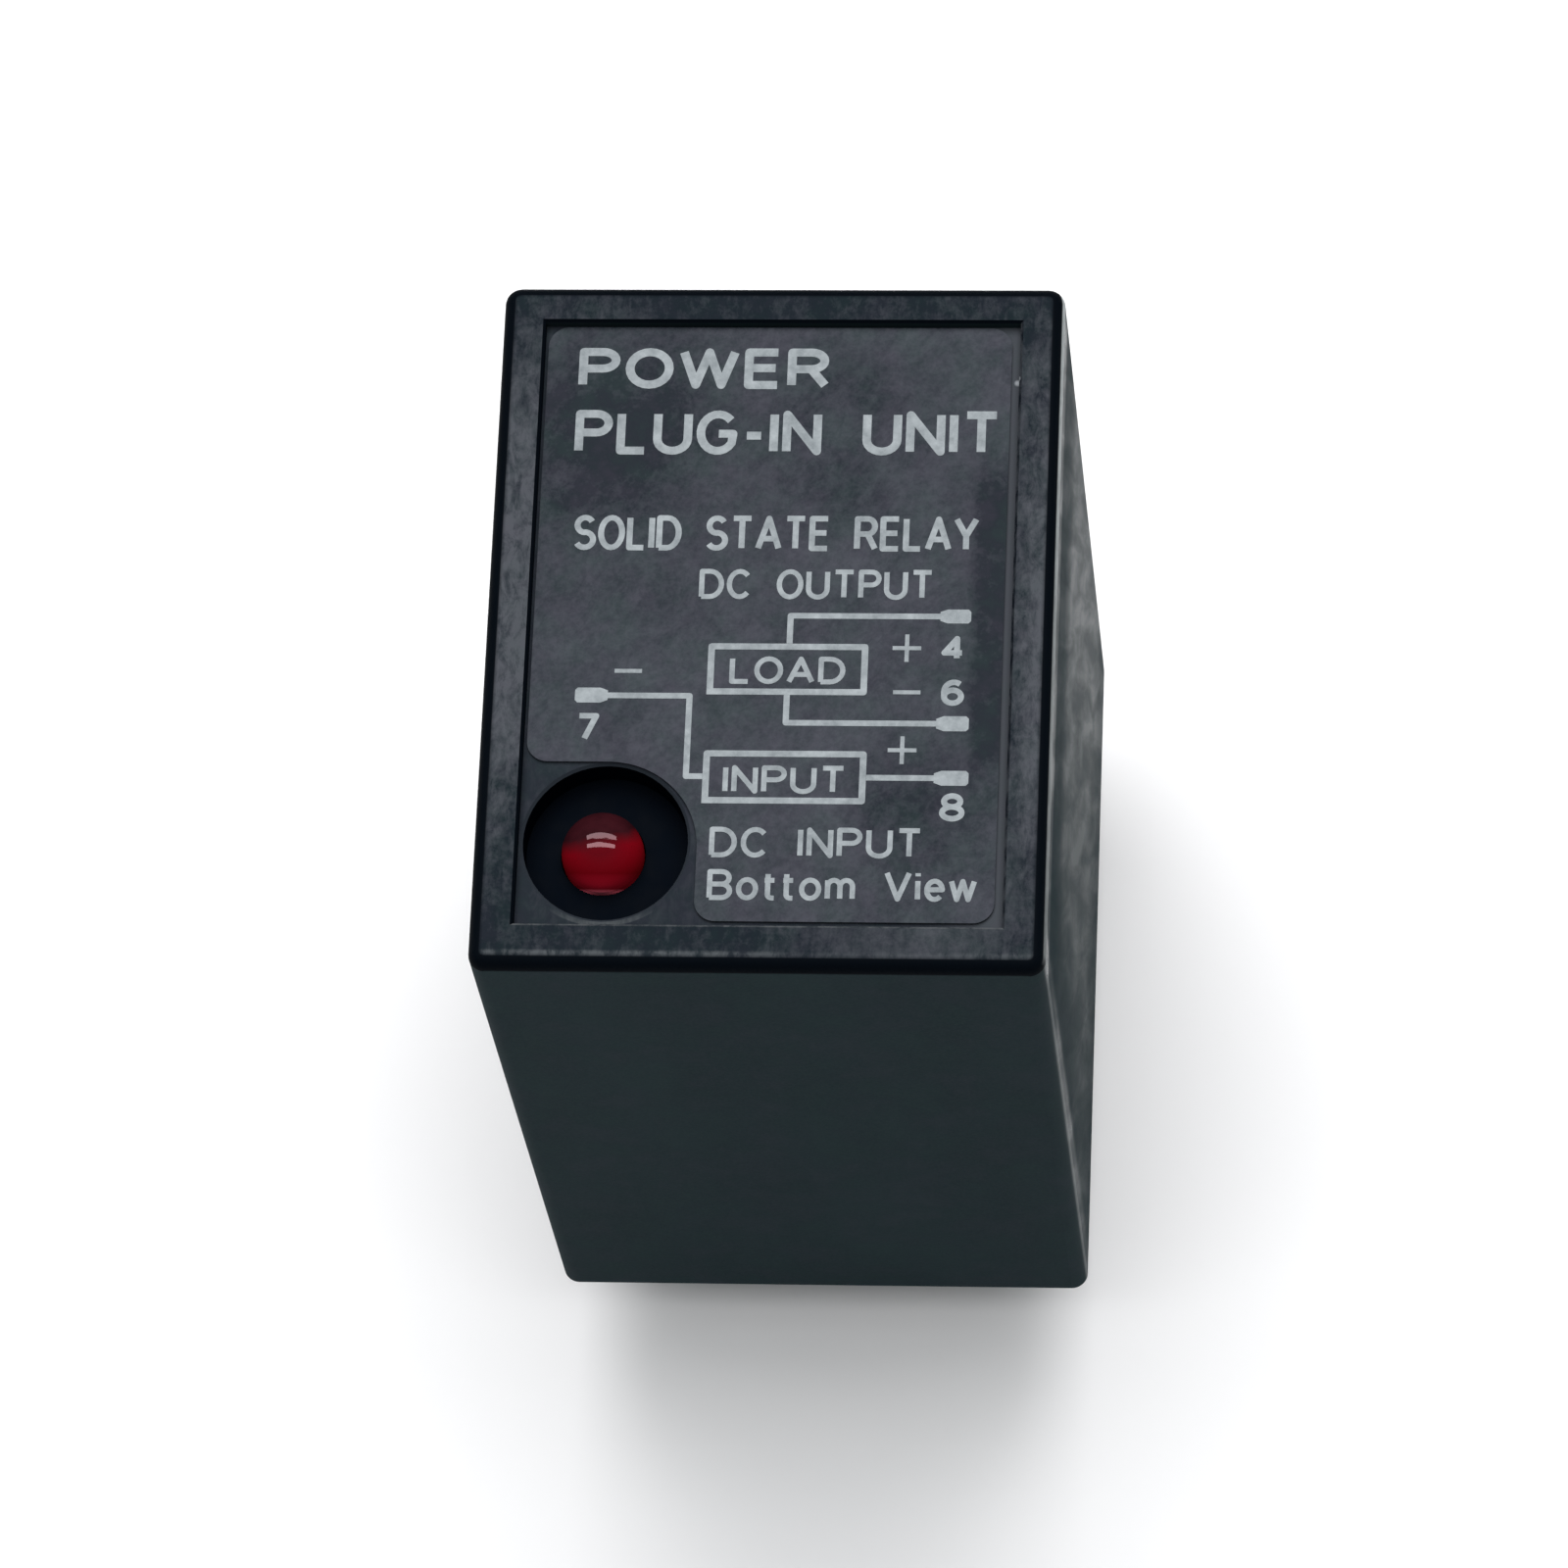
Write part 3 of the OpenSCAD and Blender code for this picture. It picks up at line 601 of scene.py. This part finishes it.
def banded(name, body, bands, axis, centre, rough=0.4):
    """A body with painted bands: (place along the axis in mm from the centre, width in mm, colour)."""
    s = Surface(name, Base_Color=body, Roughness=rough)
    cloud = s.noise(1.2, detail=3)
    colour = s.blend(s.ramp(cloud, 0.3, 0.7), tuple(0.8 * c for c in body), body)
    along = s.math("SUBTRACT", s.axis(axis), centre)
    for place, width, paint in bands:
        off = s.size(s.math("SUBTRACT", along, place * MM))
        inside = s.ramp_mm(off, width / 2 + BAND_SOFT, width / 2 - BAND_SOFT)
        colour = s.blend(inside, colour, paint)
    s.feed("Base Color", colour)
    s.feed("Roughness", s.ramp(cloud, 0.3, 0.7, rough - 0.08, rough + 0.08))
    s.feed("Normal", s.bump(s.noise(0.4, detail=2), 0.01))
    return s.material


# ---- floor, lights and world ----


FLOOR_HALF = 2.0


def make_stage():
    """A wide pale floor under the blades."""
    mesh = bpy.data.meshes.new("floor")
    signs = ((-1, -1), (1, -1), (1, 1), (-1, 1))
    mesh.from_pydata([(i * FLOOR_HALF, j * FLOOR_HALF, FLOOR_Z) for i, j in signs], [], [(0, 1, 2, 3)])
    floor = bpy.data.objects.new("floor", mesh)
    bpy.context.scene.collection.objects.link(floor)
    s = Surface("floor_paper", Base_Color=(0.90, 0.90, 0.90), Roughness=0.9)
    s.set("Specular IOR Level", 0.1)
    mesh.materials.append(s.material)


def area_light(name, place, target, size, watts, colour=(1, 1, 1)):
    data = bpy.data.lights.new(name, "AREA")
    data.shape = "RECTANGLE"
    data.size, data.size_y = size
    data.energy = watts
    data.color = colour
    light = bpy.data.objects.new(name, data)
    bpy.context.scene.collection.objects.link(light)
    toward = Vector(target) - Vector(place)
    light.matrix_world = Matrix.Translation(place) @ toward.to_track_quat("-Z", "Y").to_matrix().to_4x4()
    return light


def only_for(lights, obj, state):
    """The lights shine on obj alone (INCLUDE), or on everything but obj (EXCLUDE)."""
    group = bpy.data.collections.new("light_on_" + obj.name)
    group.objects.link(obj)
    group.collection_objects[0].light_linking.link_state = state
    for light in lights:
        light.light_linking.receiver_collection = group


SOFT_WHITE = (1.0, 0.99, 1.0)
ROOM_COLOUR = (0.92, 0.97, 1.0)
ROOM_LOW, ROOM_HIGH = 0.10, 0.40


def make_light():
    """A large soft light above and behind, a dim pair overhead, a wash on the floor alone, a room that is
    darker low down, and two tubes that light only the lamp, for its small highlights."""
    room = [
        area_light("key", (0.0, 0.42, 0.75), (0, 0, 0.02), (0.75, 0.55), 6.0, SOFT_WHITE),
        area_light("overhead_near", (0.0, -0.17, 0.60), (0, -0.17, 0), (0.85, 0.10), 0.8, SOFT_WHITE),
        area_light("overhead_far", (0.0, 0.05, 0.60), (0, 0.05, 0), (0.85, 0.10), 0.8, SOFT_WHITE),
    ]
    tubes = [
        area_light("tube_near", (-0.006, 0.029, 0.636), LAMP, (0.97, 0.134), 23.0, (1.0, 0.62, 0.68)),
        area_light("tube_far", (-0.006, 0.384, 0.636), LAMP, (1.11, 0.196), 31.0, (1.0, 0.64, 0.70)),
    ]
    wash = area_light("floor_wash", (0, 0, 1.2), (0, 0, 0), (2.0, 2.0), 8.0)
    only_for([wash], bpy.data.objects["floor"], "INCLUDE")
    only_for(room, nodes["lamp_lens"], "EXCLUDE")
    only_for(tubes, nodes["lamp_lens"], "INCLUDE")
    world = bpy.data.worlds.new("room")
    world.use_nodes = True
    tree = world.node_tree
    back = tree.nodes["Background"]
    up = tree.nodes.new("ShaderNodeSeparateXYZ")
    tree.links.new(tree.nodes.new("ShaderNodeTexCoord").outputs["Generated"], up.inputs[0])
    height = tree.nodes.new("ShaderNodeMapRange")
    height.interpolation_type = "SMOOTHSTEP"
    limits = {"From Min": 0.35, "From Max": 0.95, "To Min": ROOM_LOW, "To Max": ROOM_HIGH}
    for socket, value in limits.items():
        height.inputs[socket].default_value = value
    tree.links.new(up.outputs["Z"], height.inputs["Value"])
    tree.links.new(height.outputs["Result"], back.inputs["Strength"])
    back.inputs["Color"].default_value = (*ROOM_COLOUR, 1)
    bpy.context.scene.world = world
    bpy.context.scene.view_settings.view_transform = "Standard"


# ---- the label's print ----

INK_T = 0.015 * MM
INK_Z = LABEL_Z - 0.003 * MM
PRINT_SHIFT = 0.06 * MM
SMOOTH_BEND = math.radians(40)

# A pad's neck as a share of its width, and its taper and cut corners in mm.
LUG_NECK, LUG_TAPER, LUG_CUT = 0.32, 0.28, 0.10


def arc(x, y, rx, ry, start, end, steps=0):
    """Points along an ellipse, with angles in degrees."""
    steps = steps or max(4, round(abs(end - start) / 15))
    turns = [math.radians(start + (end - start) * i / steps) for i in range(steps + 1)]
    return [(x + rx * math.cos(t), y + ry * math.sin(t)) for t in turns]


# A single-line alphabet. Each letter is its width and its strokes, on capitals 1 high.
BOWL = [(0, 0), (0, 1), (0.36, 1), *arc(0.36, 0.745, 0.25, 0.255, 90, -90), (0, 0.49)]
SNAKE = [*arc(0.30, 0.75, 0.27, 0.25, 28, 270), *arc(0.30, 0.255, 0.30, 0.255, 90, -152)]
LETTERS = {
    " ": (0.50, []),
    "-": (0.30, [[(0, 0.42), (0.30, 0.42)]]),
    "A": (0.72, [[(0, 0), (0.36, 1), (0.72, 0)], [(0.12, 0.32), (0.60, 0.32)]]),
    "B": (0.62, [[(0, 0), (0, 1), (0.36, 1), *arc(0.36, 0.76, 0.23, 0.24, 90, -90), (0, 0.52)],
                 [(0.36, 0.52), *arc(0.36, 0.26, 0.26, 0.26, 90, -90), (0, 0)]]),
    "C": (0.68, [arc(0.36, 0.5, 0.36, 0.5, 42, 318)]),
    "D": (0.68, [[(0, 0), (0, 1), (0.28, 1), *arc(0.28, 0.5, 0.40, 0.5, 90, -90), (0, 0)]]),
    "E": (0.54, [[(0.54, 0), (0, 0), (0, 1), (0.54, 1)], [(0, 0.52), (0.50, 0.52)]]),
    "G": (0.70, [[*arc(0.36, 0.5, 0.36, 0.5, 42, 325), (0.68, 0.47), (0.38, 0.47)]]),
    "I": (0.0, [[(0, 0), (0, 1)]]),
    "L": (0.50, [[(0, 1), (0, 0), (0.50, 0)]]),
    "N": (0.64, [[(0, 0), (0, 1), (0.64, 0), (0.64, 1)]]),
    "O": (0.74, [arc(0.37, 0.5, 0.37, 0.5, 0, 360)]),
    "P": (0.61, [BOWL]),
    "R": (0.63, [BOWL, [(0.36, 0.49), (0.63, 0)]]),
    "S": (0.60, [SNAKE]),
    "T": (0.62, [[(0, 1), (0.62, 1)], [(0.31, 1), (0.31, 0)]]),
    "U": (0.64, [[(0, 1), (0, 0.32), *arc(0.32, 0.32, 0.32, 0.32, 180, 360), (0.64, 1)]]),
    "V": (0.68, [[(0, 1), (0.34, 0), (0.68, 1)]]),
    "W": (0.96, [[(0, 1), (0.24, 0), (0.48, 1), (0.72, 0), (0.96, 1)]]),
    "Y": (0.68, [[(0, 1), (0.34, 0.44), (0.68, 1)], [(0.34, 0.44), (0.34, 0)]]),
    "e": (0.48, [[(0.01, 0.37), (0.48, 0.37), *arc(0.245, 0.35, 0.235, 0.35, 8, 318)]]),
    "i": (0.0, [[(0, 0), (0, 0.70)], [(0, 0.88), (0, 1)]]),
    "m": (0.76, [[(0, 0), (0, 0.70)]] + [
        [(x, 0.40), *arc(x + 0.19, 0.46, 0.19, 0.24, 180, 0), (x + 0.38, 0)] for x in (0, 0.38)]),
    "o": (0.52, [arc(0.26, 0.35, 0.26, 0.35, 0, 360)]),
    "t": (0.30, [[(0.10, 0.92), (0.10, 0.14), *arc(0.23, 0.14, 0.13, 0.14, 180, 270), (0.30, 0)],
                 [(0, 0.68), (0.30, 0.68)]]),
    "w": (0.70, [[(0, 0.70), (0.175, 0), (0.35, 0.70), (0.525, 0), (0.70, 0.70)]]),
    "4": (0.62, [[(0.44, 0), (0.44, 1), (0, 0.27), (0.62, 0.27)]]),
    "6": (0.58, [[*arc(0.34, 0.56, 0.32, 0.44, 52, 180), (0.02, 0.32)], arc(0.30, 0.31, 0.28, 0.31, 0, 360)]),
    "7": (0.56, [[(0, 1), (0.56, 1), (0.20, 0)]]),
    "8": (0.58, [arc(0.29, 0.76, 0.24, 0.24, 0, 360), arc(0.29, 0.26, 0.29, 0.26, 0, 360)]),
}
GAP = 0.27
X_HEIGHT = 0.7
TALL = "it4678"


class Print:
    """Flat shapes of ink, gathered as overlapping outlines in mm and then merged into one thin solid."""

    def __init__(self):
        self.points, self.shapes = [], []

    def shape(self, outline):
        first = len(self.points)
        self.points += [Vector(p) for p in outline]
        self.shapes.append(list(range(first, len(self.points))))

    def bar(self, x0, y0, x1, y1):
        self.shape([(x0, y0), (x1, y0), (x1, y1), (x0, y1)])

    def lug(self, near, far, y0, y1):
        """A terminal's pad: it tapers to the lead at its near end, and its far corners are cut."""
        toward = 1 if far > near else -1
        middle, neck, taper, cut = (y0 + y1) / 2, LUG_NECK * (y1 - y0), LUG_TAPER * toward, LUG_CUT
        outline = [
            (near, middle - neck), (near + taper, y0), (far - toward * cut, y0), (far, y0 + cut),
            (far, y1 - cut), (far - toward * cut, y1), (near + taper, y1), (near, middle + neck),
        ]
        self.shape(outline[::toward])

    def dot(self, x, y, radius):
        self.shape(arc(x, y, radius, radius, 0, 330, 11))

    def line(self, path, width):
        """A pen stroke with square ends. Gentle bends are smooth, and sharper ones get a round joint."""
        path = [Vector(p) for p in path]
        path = path[:1] + [b for a, b in zip(path, path[1:]) if (b - a).length > 1e-3]
        runs = [[path[0]]]
        for i in range(1, len(path)):
            runs[-1].append(path[i])
            last = i == len(path) - 1
            if not last and (path[i] - path[i - 1]).angle(path[i + 1] - path[i]) > SMOOTH_BEND:
                self.dot(*path[i], width / 2)
                runs.append([path[i]])
        for run in runs:
            closed = (run[0] - run[-1]).length < 1e-6
            if closed:
                run = run[:-1]
            sides = []
            for i, here in enumerate(run):
                before = here - run[i - 1] if i or closed else run[1] - here
                after = run[(i + 1) % len(run)] - here if i < len(run) - 1 or closed else before
                along = (before.normalized() + after.normalized()).normalized()
                sides.append(Vector((-along.y, along.x)) * width / 2)
            left = [tuple(p + n) for p, n in zip(run, sides)]
            right = [tuple(p - n) for p, n in zip(run, sides)]
            for i in range(len(run) if closed else len(run) - 1):
                j = (i + 1) % len(run)
                self.shape([left[i], right[i], right[j], left[j]])

    def words(self, text, x0, y0, x1, y1, pen):
        """Words that fill the box from (x0, y0) to (x1, y1)."""
        wide = sum(LETTERS[c][0] for c in text) + GAP * (len(text) - 1)
        tall = 1 if any(c.isupper() or c in TALL for c in text) else X_HEIGHT
        step = (x1 - x0 - pen) / wide if wide else 0
        rise = (y1 - y0 - pen) / tall
        x = x0 + pen / 2
        for c in text:
            width, strokes = LETTERS[c]
            for stroke in strokes:
                self.line([(x + px * step, y0 + pen / 2 + py * rise) for px, py in stroke], pen)
            x += (width + GAP) * step

    def piece(self, name, material):
        """The merged ink as a thin closed solid that rides with the relay."""
        merged = delaunay_2d_cdt(self.points, [], self.shapes, 1, 1e-5)
        faces = [face for face, covers in zip(merged[2], merged[5]) if covers]
        used = sorted({corner for face in faces for corner in face})
        order = {corner: i for i, corner in enumerate(used)}
        top = [[order[corner] for corner in face] for face in faces]
        under = [[i + len(used) for i in reversed(face)] for face in top]
        edges = {edge: None for face in top for edge in zip(face, face[1:] + face[:1])}
        sides = [(a + len(used), b + len(used), b, a) for a, b in edges if (b, a) not in edges]
        outline = [(merged[0][i].x * MM, merged[0][i].y * MM + PRINT_SHIFT) for i in used]
        corners = [(x, y, z) for z in (INK_Z + INK_T, INK_Z) for x, y in outline]
        mesh = bpy.data.meshes.new(name)
        mesh.from_pydata(corners, [], top + under + sides)
        mesh.materials.append(material)
        piece = bpy.data.objects.new(name, mesh)
        bpy.context.scene.collection.objects.link(piece)
        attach(piece, "root")


# Widths of the pens, in mm.
NUMBER_PEN, LEAD_PEN, BOX_PEN = 0.225, 0.23, 0.25


def print_label(material):
    """The wiring diagram and generic words, each where the label has its own."""
    lugs = {
        "4": (6.40, 7.56, 0.05, 0.62),
        "6": (6.38, 7.60, -4.34, -3.73),
        "7": (-6.02, -7.26, -3.27, -2.66),
        "8": (6.36, 7.66, -6.54, -5.94),
    }
    lines = {
        "load_lead": [(0.75, -0.81), (0.75, 0.33), (lugs["4"][0], 0.33)],
        "common_lead": [(0.73, -2.91), (0.73, -4.04), (lugs["6"][0], -4.04)],
        "return_lead": [(lugs["7"][0], -2.97), (-2.93, -2.97), (-2.93, -6.23), (-2.31, -6.23)],
        "input_lead": [(3.83, -6.24), (lugs["8"][0], -6.24)],
    }
    boxes = {
        "load_box": (-2.18, -2.78, 3.61, -0.94),
        "input_box": (-2.18, -7.19, 3.70, -5.30),
    }
    plus_signs = ((5.18, -0.97), (5.14, -5.12))
    minus_signs = ((4.72, -2.85, 5.75, -2.69), (-5.81, -2.05, -4.77, -1.89))
    numbers = {
        "4": (6.48, -1.48, 7.37, -0.46),
        "6": (6.50, -3.31, 7.39, -2.24),
        "7": (-7.16, -4.84, -6.30, -3.70),
        "8": (6.60, -7.98, 7.56, -6.84),
    }
    words = {
        "title": ("POWER", -7.77, 9.73, 1.85, 11.44, 0.34),
        "kind": ("PLUG-IN UNIT", -7.79, 6.97, 8.44, 8.83, 0.33),
        "name": ("SOLID STATE RELAY", -7.65, 2.99, 7.75, 4.45, 0.23),
        "output": ("DC OUTPUT", -2.77, 1.00, 6.11, 2.24, 0.20),
        "load": ("LOAD", -1.47, -2.47, 2.90, -1.34, 0.20),
        "input": ("INPUT", -1.54, -6.92, 3.07, -5.77, 0.20),
        "rating": ("DC INPUT", -1.94, -9.49, 6.02, -8.26, 0.20),
        "note": ("Bottom View", -1.95, -11.20, 8.11, -9.96, 0.20),
    }
    for name, (text, *place) in words.items():
        pen = Print()
        pen.words(text, *place)
        pen.piece("print_" + name, material)
    for digit, place in numbers.items():
        pen = Print()
        pen.words(digit, *place, NUMBER_PEN)
        pen.lug(*lugs[digit])
        pen.piece("print_number_" + digit, material)
    for name, path in lines.items():
        pen = Print()
        pen.line(path, LEAD_PEN)
        pen.piece("print_" + name, material)
    for name, (x0, y0, x1, y1) in boxes.items():
        pen = Print()
        pen.line([(x0, y0), (x1, y0), (x1, y1), (x0, y1), (x0, y0 - BOX_PEN / 2)], BOX_PEN)
        pen.piece("print_" + name, material)
    pen = Print()
    for x, y in plus_signs:
        pen.bar(x - 0.54, y - 0.08, x + 0.54, y + 0.08)
        pen.bar(x - 0.08, y - 0.56, x + 0.08, y + 0.56)
    for sign in minus_signs:
        pen.bar(*sign)
    pen.piece("print_signs", material)


# ---- the build ----

make_camera()
make_stage()
make_light()


def mid(node, axis):
    low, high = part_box(node)
    return (low[axis] + high[axis]) / 2


TAN, GOLD = (0.50, 0.36, 0.20), (0.45, 0.25, 0.05)
BROWN, BLACK, RED, ORANGE = (0.09, 0.03, 0.012), (0.01, 0.01, 0.01), (0.45, 0.02, 0.015), (0.65, 0.16, 0.02)


def resistor(node, *colours):
    bands = [(-1.9 + 0.9 * i, 0.45, c) for i, c in enumerate(colours)] + [(1.9, 0.45, GOLD)]
    return banded(node + "_paint", TAN, bands, "Y", mid(node, 1))


tin = metal("tinned_brass", (0.55, 0.53, 0.49), (0.76, 0.75, 0.73), 0.18, 0.34, grain=(1, 1, 16))
lead = metal("tinned_wire", (0.50, 0.50, 0.50), (0.72, 0.72, 0.72), 0.22, 0.40)
copper = metal("bare_copper", (0.62, 0.27, 0.14), (0.85, 0.44, 0.27), 0.20, 0.36)
package = moulded("package_epoxy", (0.010, 0.010, 0.011), (0.020, 0.020, 0.021), 0.55, 0.12, 0.006)
FINISHES = {
    "case_cover": case_plastic(),
    "terminal_base": base_plastic(),
    "seal_bead": epoxy(),
    "label_film": label_plastic(),
    "lamp_lens": red_epoxy(),
    "lamp_holder": holder_plastic(),
    "circuit_board": board(),
    "solder_joints": metal("solder", (0.52, 0.52, 0.50), (0.78, 0.77, 0.75), 0.14, 0.30, depth_mm=0.02),
    "input_resistor": resistor("input_resistor", BROWN, BLACK, RED),
    "lamp_resistor": resistor("lamp_resistor", ORANGE, ORANGE, RED),
    "bias_resistor": resistor("bias_resistor", BROWN, BLACK, ORANGE),
    "protection_diode": banded(
        "diode_paint", (0.014, 0.014, 0.015), [(1.8, 0.8, (0.55, 0.55, 0.55))], "Z",
        mid("protection_diode", 2), 0.5),
    "photocoupler": package,
    "driver_transistor": package,
    "power_transistor": package,
    "filter_capacitor": banded(
        "capacitor_sleeve", (0.012, 0.016, 0.045), [(0, 0.9, (0.50, 0.52, 0.55))], "Z",
        mid("filter_capacitor", 2) + 1.6 * MM, 0.3),
    "surge_varistor": moulded("varistor_coat", (0.010, 0.045, 0.150), (0.020, 0.080, 0.260), 0.35, 0.7, 0.03),
    "power_tab": metal("nickel_tab", (0.55, 0.54, 0.50), (0.72, 0.71, 0.67), 0.20, 0.34, grain=(1, 12, 1)),
    "thermal_pad": moulded("silicone_pad", (0.24, 0.25, 0.26), (0.36, 0.37, 0.38), 0.75, 0.3, 0.02),
    "tab_screw": metal("screw_steel", (0.50, 0.48, 0.42), (0.70, 0.68, 0.60), 0.22, 0.38, grain=(10, 1, 1)),
    "heat_spreader": metal(
        "spreader_metal", (0.60, 0.61, 0.62), (0.78, 0.79, 0.80), 0.30, 0.48, grain=(1, 16, 1)),
}
for metal_finish, names in (
    (tin, ("terminal_4", "terminal_6", "terminal_7", "terminal_8")),
    (copper, ("wire_4", "wire_6", "wire_7", "wire_8")),
    (lead, ("lamp_leads", "resistor_leads", "diode_leads", "photocoupler_legs", "capacitor_leads",
            "driver_legs", "varistor_leads", "power_legs")),
):
    for name in names:
        FINISHES[name] = metal_finish
assert set(FINISHES) == set(nodes)
for name, material in FINISHES.items():
    for slot in nodes[name].material_slots:
        slot.material = material

print_label(ink())
